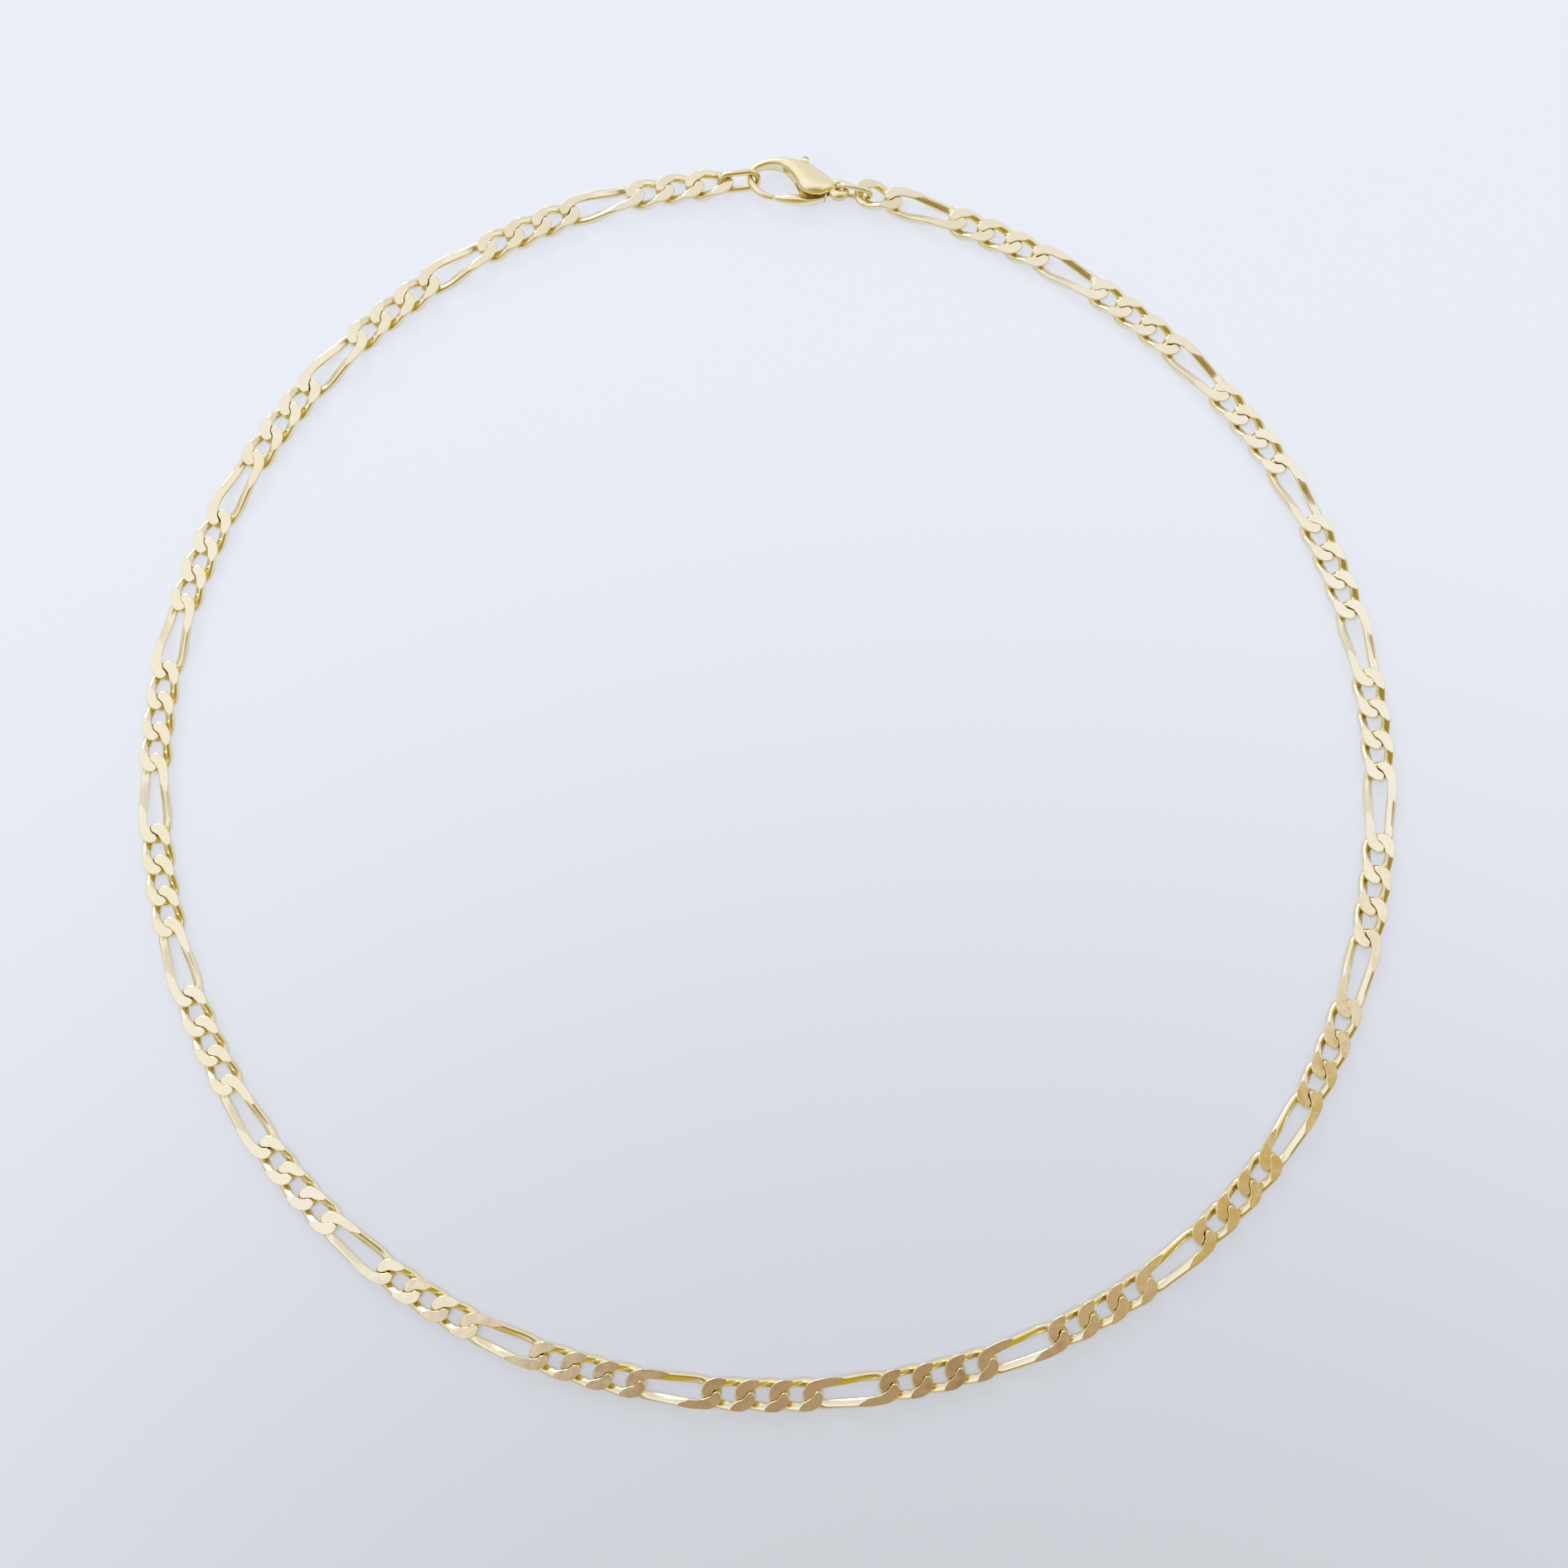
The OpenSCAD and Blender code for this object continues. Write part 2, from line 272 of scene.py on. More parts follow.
# %% [markdown]
# ## Traces of polishing
#
# A polishing wheel leaves faint ripples, and patches that are a little duller than others. Cutting
# them into the mesh would take far too many faces. So both are noises of a millimetre or two: one
# steers the roughness, and the other goes to a Bump node as height.

# %% Node group: traces of polishing
DULL_SCALE, RIPPLE_SCALE = 900.0, 500.0

polish, polish_in, polish_out = new_group(
    "Polish traces",
    [("Vector", "NodeSocketVector", None), ("Bright", "NodeSocketFloat", 0.15),
     ("Dull", "NodeSocketFloat", 0.3)],
    [("Roughness", "NodeSocketFloat"), ("Height", "NodeSocketFloat")])
dull_patches = noise(polish, polish_in.outputs["Vector"], DULL_SCALE, 3.0)
polish.links.new(ranged(polish, dull_patches, NOISE_LOW, NOISE_HIGH,
                        polish_in.outputs["Bright"], polish_in.outputs["Dull"]),
                 polish_out.inputs["Roughness"])
polish.links.new(noise(polish, polish_in.outputs["Vector"], RIPPLE_SCALE, 2.0),
                 polish_out.inputs["Height"])
print("node groups:", [g.name for g in bpy.data.node_groups])

# %% [markdown]
# ## Gold finishes
#
# Pale gold reflects almost all the light that falls on it and tints it. The links are polished hard
# after grinding. The clasp is cast and tumbled, so its skin is softer and a little paler. Both share
# the three groups and differ only in the values that they give them.

# %% Gold materials
# Darker gold that is mixed into the crevices as painted shade
CREVICE_SHADE_GOLD = (0.75, 0.6, 0.08, 1)
RIPPLE_HEIGHT = 0.0001


def gold_finish(name, pale, warm, bright, dull, ripple, reach):
    """Roughness runs from bright to dull, ripple is the strength of the bump, reach is in metres."""
    finish = bpy.data.materials.new(name)
    finish.use_nodes = True
    tree = finish.node_tree
    shader = tree.nodes["Principled BSDF"]
    shader.inputs["Metallic"].default_value = 1.0
    place = tree.nodes.new("ShaderNodeTexCoord").outputs["Object"]

    def group_node(group, **values):
        node = tree.nodes.new("ShaderNodeGroup")
        node.node_tree = group
        for socket, value in values.items():
            give(tree, value, node.inputs[socket.replace("_", " ")])
        return node

    colour = group_node(tone, Vector=place, Pale=pale, Warm=warm)
    # Painted shade: darker gold where the links hide each other from light
    painted_crevice_shade = group_node(crevice_shade, Color=colour.outputs["Color"], Deep_color=CREVICE_SHADE_GOLD, Reach=reach)
    traces = group_node(polish, Vector=place, Bright=bright, Dull=dull)
    bump = tree.nodes.new("ShaderNodeBump")
    bump.inputs["Strength"].default_value = ripple
    bump.inputs["Distance"].default_value = RIPPLE_HEIGHT
    tree.links.new(traces.outputs["Height"], bump.inputs["Height"])
    tree.links.new(painted_crevice_shade.outputs["Color"], shader.inputs["Base Color"])
    tree.links.new(traces.outputs["Roughness"], shader.inputs["Roughness"])
    tree.links.new(bump.outputs["Normal"], shader.inputs["Normal"])
    return finish


chain_gold = gold_finish("Polished chain gold", pale=(0.89, 0.82, 0.65, 1), warm=(0.87, 0.78, 0.56, 1),
                         bright=0.12, dull=0.2, ripple=0.2, reach=0.0008)
clasp_gold = gold_finish("Tumbled clasp gold", pale=(0.92, 0.83, 0.6, 1), warm=(0.91, 0.81, 0.54, 1),
                         bright=0.24, dull=0.29, ripple=0.06, reach=0.0012)

# %% [markdown]
# ## The middle line of a link
#
# A link starts as a ring of round wire. It is drawn out to an oval and twisted, so that one half of
# each tip climbs and the other half drops, and the next link can lie flat in it. It could be drawn
# as a curve by eye. Here a circle of points is moved in the same way as the wire, out to the oval
# and then up or down, because that gives the short and the long link from the same steps. Where a
# tip climbs, it also leans back a little, as the slanted line between two neighbouring links shows.

# %% Sizes of the links in millimetres, and their middle lines
CHAIN_HEIGHT = 1.4
LINK_WIDTH = 3.96
SHORT_LINKS, LONG_LINKS = 67, 22
CLASP_ROOM = 19.3
SHORT_PITCH = 4.12
LONG_PITCH = (LOOP_LENGTH - CLASP_ROOM - SHORT_LINKS * SHORT_PITCH) / LONG_LINKS
# Radius of the wire along the sides and at the tips
STRAND_R, TIP_R = 0.59, 0.63
# A tip's middle line reaches this far past half the pitch
REACH = 0.69
# Height by which a strand climbs or drops, and the half width over which a tip crosses between the two
RISE = 0.57
TIP_W = 0.66
# Length on either side of the middle over which the sudden part of that climb is made
QUICK_TURN = 0.8
# Roundness of the oval across the link: 1 is an ellipse, less is squarer
SIDE_POWER = 0.86
# Lean of a climbing tip for each millimetre of width, and the width at which it has reached its most
SLANT, SLANT_WIDTH = 0.14, 0.6
# Where the wire grows fuller and where the tip leans: begin and end, back from half the pitch
FULLER, LEANING = (1.4, 0.2), (1.2, 0)


def ease(value, width):
    return math.sin(math.pi / 2 * max(-1.0, min(1.0, value / width)))


def bent(value, power):
    return math.copysign(abs(value) ** power, value)


def share(value, low, high):
    return max(0.0, min(1.0, (value - low) / (high - low)))


def toward_tip(x, half, begin, end):
    """Grows from 0 to 1 between two places, each given by its distance back from half the pitch."""
    return share(abs(x), half - begin, half - end)


def lay_middle_line(name, pitch, points, power, sudden):
    """A ring of edges on the middle line of the wire, its places, and the wire's radius at each."""
    half = pitch / 2
    nothing_selected()
    bpy.ops.mesh.primitive_circle_add(vertices=points, radius=1)
    link = bpy.context.object
    link.name = name
    wires, middles = [], []
    for i, at in enumerate([v.co.copy() for v in link.data.vertices]):
        x = (half + REACH) * bent(at.x, power)
        wire = STRAND_R + (TIP_R - STRAND_R) * toward_tip(x, half, *FULLER)
        y = (LINK_WIDTH / 2 - wire) * bent(at.y, SIDE_POWER)
        climb = sudden * ease(x, QUICK_TURN) + (1 - sudden) * ease(x, half)
        high_side = x * y < 0
        slant = SLANT * min(abs(y), SLANT_WIDTH) * toward_tip(x, half, *LEANING) * high_side
        wires.append(wire)
        middles.append(Vector((x - math.copysign(slant, x), y, -RISE * climb * ease(y, TIP_W))))
        select_parts(link, "VERT", lambda v: v.index == i)
        bpy.ops.transform.translate(value=middles[i] - at)
    return link, middles, wires


# %% [markdown]
# ## Wire round the middle line
#
# A Skin modifier or a swept ring would give the line its thickness. A curve does it best, because
# it carries round wire with a radius of its own at each point. Back as a mesh, its vertices come in
# rings of sixteen, one for each point. So the index of a vertex tells which ring it is in, and each
# ring can be picked and reshaped afterwards.

# %% Give the line its wire
RING_SIDES = 16
SAME_PLACE = 0.001


def draw_wire(link, middles, wires):
    """Wire on the middle line, and for each of its rings the number of its point on that line."""
    pick(link)
    bpy.ops.object.convert(target="CURVE")
    curve = link.data
    curve.twist_mode = "Z_UP"
    curve.bevel_depth = 1.0
    curve.bevel_resolution = RING_SIDES // 2 - 2
    order = []
    for point in curve.splines[0].points:
        order.append(min(range(len(middles)), key=lambda n: (middles[n] - point.co.to_3d()).length))
        point.radius = wires[order[-1]]
    bpy.ops.object.convert(target="MESH")
    link = bpy.context.object
    edit_all(link)
    bpy.ops.mesh.remove_doubles(threshold=SAME_PLACE)
    bpy.ops.mesh.normals_make_consistent(inside=False)
    bpy.ops.object.mode_set(mode="OBJECT")
    print(link.name, "points", len(link.data.vertices), "rings", len(link.data.vertices) / RING_SIDES)
    return link, order


# %% [markdown]
# ## Pressing the wire
#
# The wire of a finished link isn't round all over. At the tips it is pressed fuller, so that their
# flat fields nearly touch. Along the sides it is a wedge, high outside and low towards the hole,
# which turns part of each strand into a sloping facet. Where the next link crosses, the hidden
# side of the wire is flattened, so that both have room. Each is a scaling of a part of a ring.

# %% Press the rings of wire
# Farther than any wire reaches
FAR = 9
# Length of a tip, back from half the pitch
TIP_LENGTH = 0.8
# Height of the wire at a tip: on the link's middle line, what is added beside it, and what is taken
# off again farther out. Then the widths over which it is added and taken off.
TIP_TALL, CROWN, FALL = 1.12, 0.35, 0.47
CROWN_RUN, FALL_RUN = (0, 0.25), (0.35, 0.75)
# Width of the wire at a tip, what is added on its high and its low side, and where it is most
TIP_WIDE, HIGH_WIDER, LOW_WIDER = 1.05, 0.08, -0.02
SHOULDER, SHOULDER_WIDTH = 0.85, 0.6
# Changes of height that make a strand a wedge: from here to there, outward of the middle of the wire
WEDGE = [(-FAR, FAR, -0.25), (0.03, FAR, 0.25), (0.3, FAR, 0.28), (-FAR, -0.03, -0.25)]
# Where the wedge dies out, back from half the pitch
WEDGE_END = (1.5, 0.6)
# Room kept below a crossing wire, and where wires cross, along the link and across it
CROSSING_GAP = 0.03
CROSSING_RUN, CROSSING_WIDTH = (1.4, 0.9), (0.3, 0.5)
# Points as near to the middle of the wire as this aren't moved for it
BESIDE_MIDDLE = 0.02


def press_wire(link, pitch, middles, order):
    half = pitch / 2

    def resize_ring(ring, low, high, size):
        """Resizes the part of one ring of wire that lies between two distances outward of its middle."""
        middle = middles[order[ring]]
        outward = Vector((0, math.copysign(1, middle.y), 0))
        select_parts(link, "VERT", lambda v: v.index // RING_SIDES == ring
                     and low < (v.co - middle).dot(outward) < high)
        bpy.ops.transform.resize(value=size, center_override=middle)
        bpy.ops.object.mode_set(mode="OBJECT")

    def make_room(ring, amount):
        """Flattens the side of one ring of wire that the next link crosses."""
        middle = middles[order[ring]]
        side = math.copysign(1, middle.z)

        def is_inner(v):
            return v.index // RING_SIDES == ring and (v.co.z - middle.z) * side < -BESIDE_MIDDLE

        depth = max((middle.z - v.co.z) * side for v in link.data.vertices if is_inner(v))
        squeeze = 1 - amount * (1 - min(1.0, (abs(middle.z) - CROSSING_GAP) / depth))
        select_parts(link, "VERT", is_inner)
        bpy.ops.transform.resize(value=(1, 1, squeeze), center_override=middle)
        bpy.ops.object.mode_set(mode="OBJECT")

    for ring, n in enumerate(order):
        x, y = abs(middles[n].x), abs(middles[n].y)
        high_side = middles[n].x * middles[n].y < 0
        if x > half - TIP_LENGTH:
            tall = TIP_TALL + CROWN * share(y, *CROWN_RUN) - FALL * share(y, *FALL_RUN)
            shoulder = 1 - share(abs(y - SHOULDER), 0, SHOULDER_WIDTH)
            wide = TIP_WIDE + (HIGH_WIDER if high_side else LOW_WIDER) * shoulder
            resize_ring(ring, -FAR, FAR, (wide, wide, tall))
        wedge = 1 - toward_tip(x, half, *WEDGE_END)
        if wedge > 0:
            for low, high, change in WEDGE:
                resize_ring(ring, low, high, (1, 1, 1 + change * wedge))
        crossing = share(y, *CROSSING_WIDTH) * toward_tip(x, half, *CROSSING_RUN)
        if crossing > 0:
            make_room(ring, crossing)


# %% [markdown]
# ## Grinding the link flat
#
# The finished chain is ground on both faces, which cuts the high parts of the wire off in a plane.
# A boolean with two blocks could do that. Bisect does it in one step, with the cut filled. The rims
# of the fields get a bevel of a few hundredths of a millimetre, as polishing leaves them, and the
# edges round each field are marked sharp, so that it stays a flat mirror.

# %% Grind a link, and make the short and the long one
# Points as near to the cut as this count as lying on it
ON_CUT = 0.002
RIM = 0.05
NEARLY_UPRIGHT = 0.999


def on_ground_face(face):
    level = abs(abs(face.center.z) - CHAIN_HEIGHT / 2) < SAME_PLACE
    return abs(face.normal.z) > NEARLY_UPRIGHT and level


def grind(link):
    for side in (1, -1):
        edit_all(link)
        bpy.ops.mesh.bisect(plane_co=(0, 0, side * CHAIN_HEIGHT / 2), plane_no=(0, 0, side),
                            use_fill=True, clear_outer=True, threshold=ON_CUT)
    bpy.ops.object.mode_set(mode="OBJECT")
    fields = select_parts(link, "FACE", on_ground_face)
    bpy.ops.mesh.region_to_loop()
    bpy.ops.mesh.bevel(offset=RIM, segments=2, affect="EDGES")
    bpy.ops.object.mode_set(mode="OBJECT")
    bpy.ops.object.shade_smooth()
    select_parts(link, "FACE", on_ground_face)
    bpy.ops.mesh.region_to_loop()
    bpy.ops.mesh.mark_sharp()
    bpy.ops.object.mode_set(mode="OBJECT")
    print(link.name, "fields", fields, "faces", len(link.data.polygons),
          "size", [round(v, 2) for v in link.dimensions])


def make_link(name, pitch, points, power, sudden):
    """power is the roundness along the link, sudden the share of the climb made near its middle."""
    link, middles, wires = lay_middle_line(name, pitch, points, power, sudden)
    link, order = draw_wire(link, middles, wires)
    press_wire(link, pitch, middles, order)
    grind(link)
    return link


short_link = make_link("short_link", SHORT_PITCH, points=48, power=0.66, sudden=0.15)
long_link = make_link("long_link", LONG_PITCH, points=72, power=0.4, sudden=0.6)

# %% [markdown]
# ## The chain
#
# 89 links follow each other along the route: three short, one long, and so on. An array on a curve
# would lay them all alike. But the links next to the two rings lie askew on them, and no link of a
# real chain lies exactly as its neighbour does. So each is a copy with a mesh of its own, rolled by
# up to a degree, tipped by about half as much and raised a little to make room for both. Sines of
# the link's number give angles that look random and come out the same in every run.

# %% Lay the links along the route
CHAIN_START = 129.7
LINK_COUNT, LEFT_LINKS = SHORT_LINKS + LONG_LINKS, 45
REPEAT = 4
# Links beside the rings: [x of the end that stays down, lift of the front, roll, height raised]
ASKEW = {0: (2.6, -5.4, -1.4, 0.135), 1: (0, 0, 0, 0.13), 2: (0, -1.05, 0.8, 0.06),
         87: (-5, 1.57, 0.73, 0.05), 88: (-2.6, 6.4, 8.3, 0.25)}
# All other links: most roll and most lift in degrees, and height raised to make room for both
ROLL, SHORT_LIFT, LONG_LIFT, RAISED = 1.0, 0.6, 0.3, 0.08
ROLL_SPREAD, LIFT_SPREAD = 12.9898, 78.233


def is_long(k):
    return k % REPEAT == REPEAT - 1


def link_place(k):
    middle = CHAIN_START + k * SHORT_PITCH + (k // REPEAT) * (LONG_PITCH - SHORT_PITCH)
    middle += (LONG_PITCH if is_long(k) else SHORT_PITCH) / 2
    if k in ASKEW:
        pivot, lift, roll, raised = ASKEW[k]
    else:
        pivot, raised = 0, RAISED
        roll = ROLL * math.sin(k * ROLL_SPREAD)
        lift = (LONG_LIFT if is_long(k) else SHORT_LIFT) * math.sin(k * LIFT_SPREAD)
    at = on_loop(middle)
    return (shift(at.x, at.y, CHAIN_HEIGHT / 2) @ spin("Z", heading(middle)) @ shift(pivot, 0, raised)
            @ spin("Y", -lift) @ shift(-pivot, 0, 0) @ spin("X", roll))


def lay_links(name, first, last):
    laid = []
    for k in range(first, last + 1):
        pick(long_link if is_long(k) else short_link)
        bpy.ops.object.duplicate(linked=False)
        link = bpy.context.object
        link.matrix_world = link_place(k)
        laid.append(link)
    nothing_selected()
    for link in laid:
        link.select_set(True)
    bpy.context.view_layer.objects.active = laid[0]
    bpy.ops.object.join()
    chain = bpy.context.object
    chain.name = name
    chain.data.materials.clear()
    chain.data.materials.append(chain_gold)
    to_metres(chain)
    print(name, "links", len(laid), "faces", len(chain.data.polygons))
    return chain


def box_in_mm(low, high):
    return [round(v * 1000, 2) for v in (*low, *high)]


left_chain = lay_links("left_chain_links", 0, LEFT_LINKS - 1)
right_chain = lay_links("right_chain_links", LEFT_LINKS, LINK_COUNT - 1)
nothing_selected()
short_link.select_set(True)
long_link.select_set(True)
bpy.ops.object.delete()
for chain, node in ((left_chain, "chain_left"), (right_chain, "chain_right")):
    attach(chain, "necklace")
    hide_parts(node)
    print(chain.name, "mm", box_in_mm(chain.bound_box[0], chain.bound_box[6]))

# %% [markdown]
# ## The two rings
#
# The chain hangs on the clasp by two oval rings of thinner wire. Each could be a curve with a bevel.
# But such a ring is a round one whose halves were pulled apart, and a torus takes that directly: its
# two halves are moved away from each other, which leaves straight wire between two half circles.

# %% Oval rings
CLASP_S, CLASP_TURN, CLASP_OUT = 113.9, 182.0, 0.25
clasp_at = on_loop(CLASP_S)
on_clasp = (shift(clasp_at.x, clasp_at.y, 0) @ spin("Z", heading(CLASP_S) + CLASP_TURN)
            @ shift(0, -CLASP_OUT, 0))


def make_ring(name, node, half_length, half_width, wire, middle, yaw, tilt, dip):
    """Half sizes are those of the wire's middle line, the place and angles are the clasp's own."""
    nothing_selected()
    bpy.ops.mesh.primitive_torus_add(major_segments=64, minor_segments=20,
                                     major_radius=half_width, minor_radius=wire / 2)
    ring = bpy.context.object
    ring.name = name
    for side in (1, -1):
        select_parts(ring, "VERT", lambda v: v.co.x * side > SAME_PLACE)
        bpy.ops.transform.translate(value=(side * (half_length - half_width), 0, 0))
    bpy.ops.object.mode_set(mode="OBJECT")
    bpy.ops.object.shade_smooth()
    ring.matrix_world = on_clasp @ shift(*middle) @ spin("Z", yaw) @ spin("Y", -dip) @ spin("X", tilt)
    ring.data.materials.append(chain_gold)
    to_metres(ring)
    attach(ring, "necklace")
    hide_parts(node)
    print(name, "faces", len(ring.data.polygons))


make_ring("oval_end_ring", "end_ring", half_length=2.65, half_width=1.19, wire=0.82,
          middle=(-13.745, -0.45, 1.475), yaw=14.4, tilt=62.5, dip=0)
make_ring("jump_ring", "clasp_ring", half_length=2.275, half_width=1.091, wire=0.75,
          middle=(2.14, 0.007, 1.48), yaw=-5.15, tilt=-92.4, dip=0.5)

# %% [markdown]
# ## The clasp
#
# A clasp's body and lever are cast, with domed cheeks and soft edges. Their solids have that form
# already, so they aren't modelled again. Their meshes come as loose triangles, so a copy is merged
# first. It is then shaded smooth, so that light runs over the cheeks without a break and only real
# edges stay sharp. The small pin keeps its own mesh and only gets the metal.

# %% Clasp pieces
MERGE_DISTANCE = 0.000001
# Angle between two faces, in degrees, from which their edge stays sharp
SHARP_FROM = 40


def smooth_copy(node, name, body):
    piece = bpy.data.objects.new(name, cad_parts[node].data.copy())
    bpy.context.scene.collection.objects.link(piece)
    edit_all(piece)
    bpy.ops.mesh.remove_doubles(threshold=MERGE_DISTANCE)
    bpy.ops.object.mode_set(mode="OBJECT")
    bpy.ops.object.shade_smooth_by_angle(angle=math.radians(SHARP_FROM))
    piece.data.materials.clear()
    piece.data.materials.append(clasp_gold)
    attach(piece, body)
    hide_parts(node)
    print(name, "faces", len(piece.data.polygons))


smooth_copy("clasp_body", "cast_body", "necklace")
smooth_copy("clasp_lever", "gate_lever", "lever")
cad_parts["clasp_pin"].data.materials.clear()
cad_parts["clasp_pin"].data.materials.append(chain_gold)

# %% [markdown]
# ## The sheet below
#
# The necklace lies on a plain pale sheet. Its shadows are very faint, because light comes from
# everywhere. A sheet that only reflects would be too dark in the holes of the links, so this one
# glows by itself for the larger part, which is painted light, and reflects the rest. The glow is
# weaker in front, a painted shade, and grows softly with the distance from there.

# %% Floor
SHEET_SIZE, SHEET_Z = 3, -0.00002
# Place round which the glow is weakest, a painted shade, and the distances between which it grows, in
# metres
PAINTED_SHADE_PLACE = (0.03, -0.2, 0)
DIM_FROM, DIM_TO = 0.07, 0.26
LEAST_GLOW, MOST_GLOW = 0.47, 0.74

nothing_selected()
bpy.ops.mesh.primitive_plane_add(size=SHEET_SIZE, location=(0, 0, SHEET_Z))
floor = bpy.context.object
floor.name = "floor"
paper = bpy.data.materials.new("Pale sheet with painted glow")
paper.use_nodes = True
sheet = paper.node_tree
surface = sheet.nodes["Principled BSDF"]
surface.inputs["Base Color"].default_value = (0.26, 0.27, 0.29, 1)
surface.inputs["Roughness"].default_value = 0.9
# Emission is painted light: the sheet glows though it is no lamp
surface.inputs["Emission Color"].default_value = (0.78, 0.82, 0.925, 1)
away = sheet.nodes.new("ShaderNodeVectorMath")
away.operation = "DISTANCE"
away.inputs[1].default_value = PAINTED_SHADE_PLACE
sheet.links.new(sheet.nodes.new("ShaderNodeTexCoord").outputs["Object"], away.inputs[0])
# Painted shade: the glow is weaker round one place in front
glow = ranged(sheet, away.outputs["Value"], DIM_FROM, DIM_TO, LEAST_GLOW, MOST_GLOW, "SMOOTHSTEP")
sheet.links.new(glow, surface.inputs["Emission Strength"])
floor.data.materials.append(paper)
print("sheet:", floor.name, "at", SHEET_Z * 1000, "mm")

# %% [markdown]
# ## The room that the metal mirrors
#
# Polished metal shows its surroundings, so the room is most of its look. It could be built of walls
# and lamps, but a world shader gives it with a few nodes. Each flat field mirrors one spot overhead,
# and fields farther along the chain mirror spots farther along the ceiling. So directions are turned
# into slopes: how far a line of sight moves to the right and to the back for each metre that it
# climbs. On this map of the ceiling, bright, amber and dark patches can be laid out.

# %% Map of the ceiling
world = bpy.data.worlds.new("soft room")
world.use_nodes = True
sky = world.node_tree
bpy.context.scene.world = world


def sky_ramp(value, low, high, to_low=0.0, to_high=1.0):
    return ranged(sky, value, low, high, to_low, to_high, "SMOOTHSTEP")


def sky_math(operation, first, second=0.0):
    node = sky.nodes.new("ShaderNodeMath")
    node.operation = operation
    give(sky, first, node.inputs[0])
    give(sky, second, node.inputs[1])
    return node.outputs[0]


direction = sky.nodes.new("ShaderNodeSeparateXYZ")
sky.links.new(sky.nodes.new("ShaderNodeTexCoord").outputs["Generated"], direction.inputs[0])
right, back, up = (direction.outputs[axis] for axis in ("X", "Y", "Z"))
# A line of sight near the horizon would give an endless slope, so its climb is kept above zero
LEAST_CLIMB = 0.05
climbing = sky_ramp(up, LEAST_CLIMB, 1.0, LEAST_CLIMB, 1.0)
slope_right = sky_math("DIVIDE", right, climbing)
slope_back = sky_math("DIVIDE", back, climbing)
slope = sky.nodes.new("ShaderNodeCombineXYZ")
sky.links.new(slope_right, slope.inputs["X"])
sky.links.new(slope_back, slope.inputs["Y"])


def near(x, y, inner, outer):
    """1 near a place on the ceiling, 0 away from it."""
    gap = sky.nodes.new("ShaderNodeVectorMath")
    gap.operation = "DISTANCE"
    sky.links.new(slope.outputs[0], gap.inputs[0])
    gap.inputs[1].default_value = (x, y, 0)
    return sky_ramp(gap.outputs["Value"], inner, outer, 1.0, 0.0)


# %% [markdown]
# ## Patches of light and dark
#
# The ceiling is bright and cool, the walls below it are dim and warm, and the back of the room is a
# little greyer. Low down at the front right it is golden, which gives the rims there a strong yellow.
# An amber patch lies overhead to the right. In front a wedge of shade opens, and in it lies a brown
# patch with soft folds, as of cloth, which the fields nearest to the camera mirror. Coloured lamps
# could do this, but each would show as a hard disc in the metal, and a map passes softly from patch
# to patch. Only the camera sees a plain pale room behind the sheet's edge.

# %% Colours of the room
WARM_WALLS = (0.45, 0.38, 0.08, 1)
BRIGHT_CEILING = (1.03, 1.04, 1.09, 1)
GREY_WALL = (0.83, 0.82, 0.8, 1)
GOLDEN_CORNER = (0.56, 0.43, 0.02, 1)
AMBER_PATCH = (0.6, 0.43, 0.11, 1)
WEDGE_SHADE = (0.36, 0.27, 0.04, 1)
DARK_FOLD = (0.24, 0.16, 0.08, 1)
PALE_FOLD = (0.62, 0.44, 0.28, 1)
SEEN_ROOM = (0.82, 0.84, 0.88, 1)

# %% Lay out the room
# Each pair tells where one part of the room begins to pass into the next, and where it has done so
WALL_TO_CEILING, CEILING_TO_BACK, TO_GOLDEN = (0.12, 0.7), (0.3, 0.65), (0.4, 0.75)
SHADE_SIDES, SHADE_POINT, SHADE_END = (-0.05, 0.2), (-0.4, -0.2), (-1.5, -1.1)
SHADE_SPREAD = 0.9
GOLDEN_RIGHT, GOLDEN_BACK = 0.6, 0.8
FOLD_SCALE, FOLD_CONTRAST = 16.0, (0.4, 0.6)

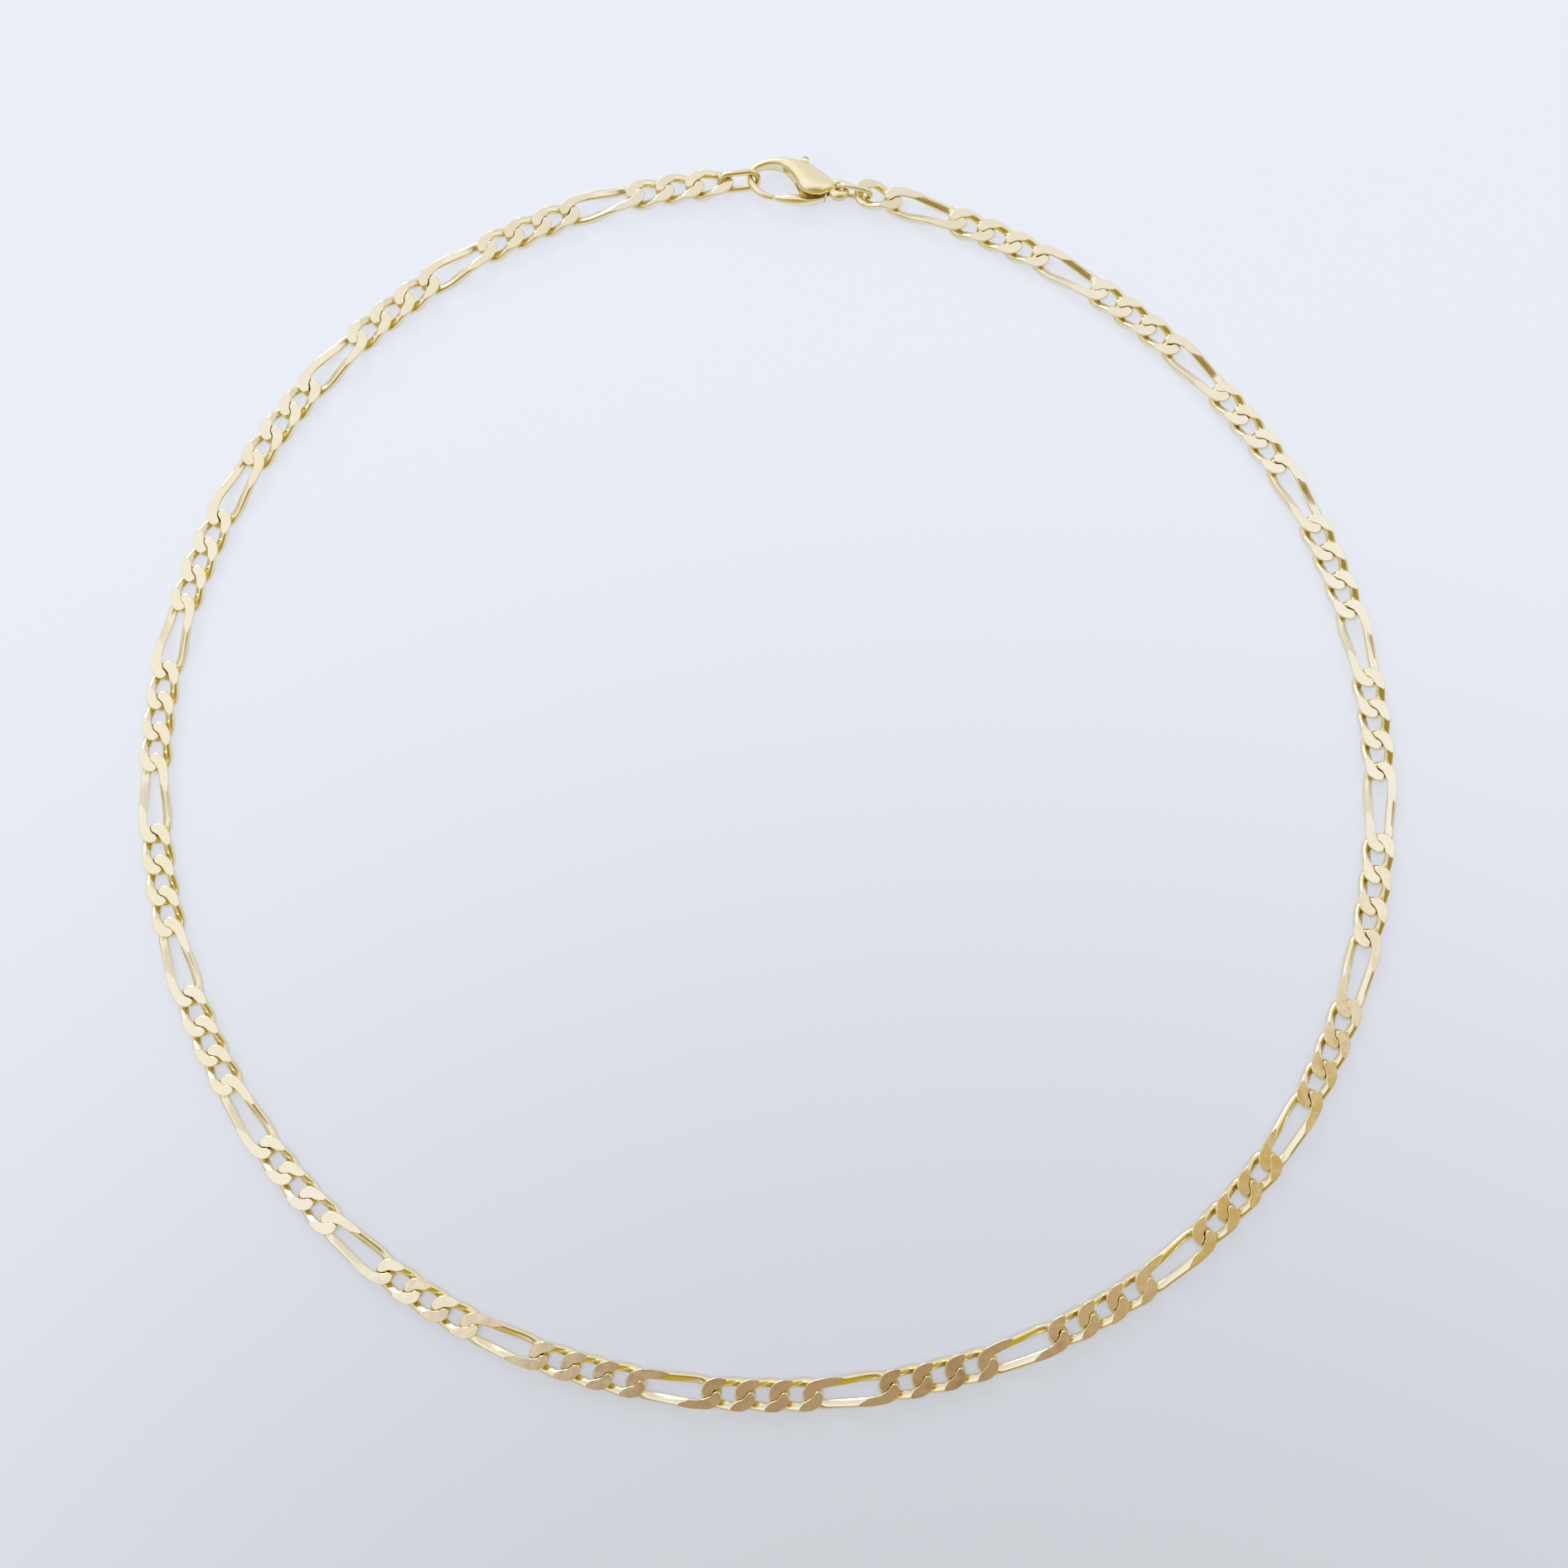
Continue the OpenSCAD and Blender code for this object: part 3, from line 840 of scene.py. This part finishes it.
# The wedge opens to the front from its point overhead, and ends far down
aside = sky_math("ADD", sky_math("ABSOLUTE", slope_right), sky_math("MULTIPLY", slope_back, SHADE_SPREAD))
shade = sky_math("MULTIPLY", sky_ramp(aside, *SHADE_SIDES, 1.0, 0.0),
                 sky_ramp(slope_back, *SHADE_POINT, 1.0, 0.0))
shade = sky_math("MULTIPLY", shade, sky_ramp(slope_back, *SHADE_END))
golden = sky_math("SUBTRACT", sky_math("MULTIPLY", right, GOLDEN_RIGHT),
                  sky_math("MULTIPLY", back, GOLDEN_BACK))
folds = noise(sky, slope.outputs[0], FOLD_SCALE, 1.0)
cloth = mixed(sky, sky_ramp(folds, *FOLD_CONTRAST), DARK_FOLD, PALE_FOLD)

room = mixed(sky, sky_ramp(up, *WALL_TO_CEILING), WARM_WALLS, BRIGHT_CEILING)
room = mixed(sky, sky_ramp(slope_back, *CEILING_TO_BACK), room, GREY_WALL)
room = mixed(sky, sky_ramp(golden, *TO_GOLDEN), room, GOLDEN_CORNER)
room = mixed(sky, near(x=0.28, y=-0.09, inner=0.07, outer=0.19), room, AMBER_PATCH)
room = mixed(sky, shade, room, WEDGE_SHADE)
room = mixed(sky, near(x=0.02, y=-0.27, inner=0.17, outer=0.28), room, cloth)
paths = sky.nodes.new("ShaderNodeLightPath")
room = mixed(sky, paths.outputs["Is Camera Ray"], room, SEEN_ROOM)
backdrop = sky.nodes["Background"]
sky.links.new(room, backdrop.inputs["Color"])
backdrop.inputs["Strength"].default_value = 1.0
print("room nodes:", len(sky.nodes))

# %% [markdown]
# ## The window
#
# Daylight falls in from the back left. A sun lamp would give hard shadows, and a small lamp would
# show as hard white dots on the round wire. So the window is one soft round lamp, almost a metre
# across, turned towards the necklace.

# %% Window light
WINDOW_PLACE = (-0.7, 1.5, 0.8)

window = bpy.data.objects.new("window", bpy.data.lights.new("window", "AREA"))
window.data.shape = "DISK"
window.data.size = 0.9
window.data.energy = 9.0
window.location = WINDOW_PLACE
window.rotation_euler = (-Vector(WINDOW_PLACE)).to_track_quat("-Z", "Y").to_euler()
bpy.context.scene.collection.objects.link(window)
print("lamp:", window.name, "across", round(window.data.size, 2), "m")
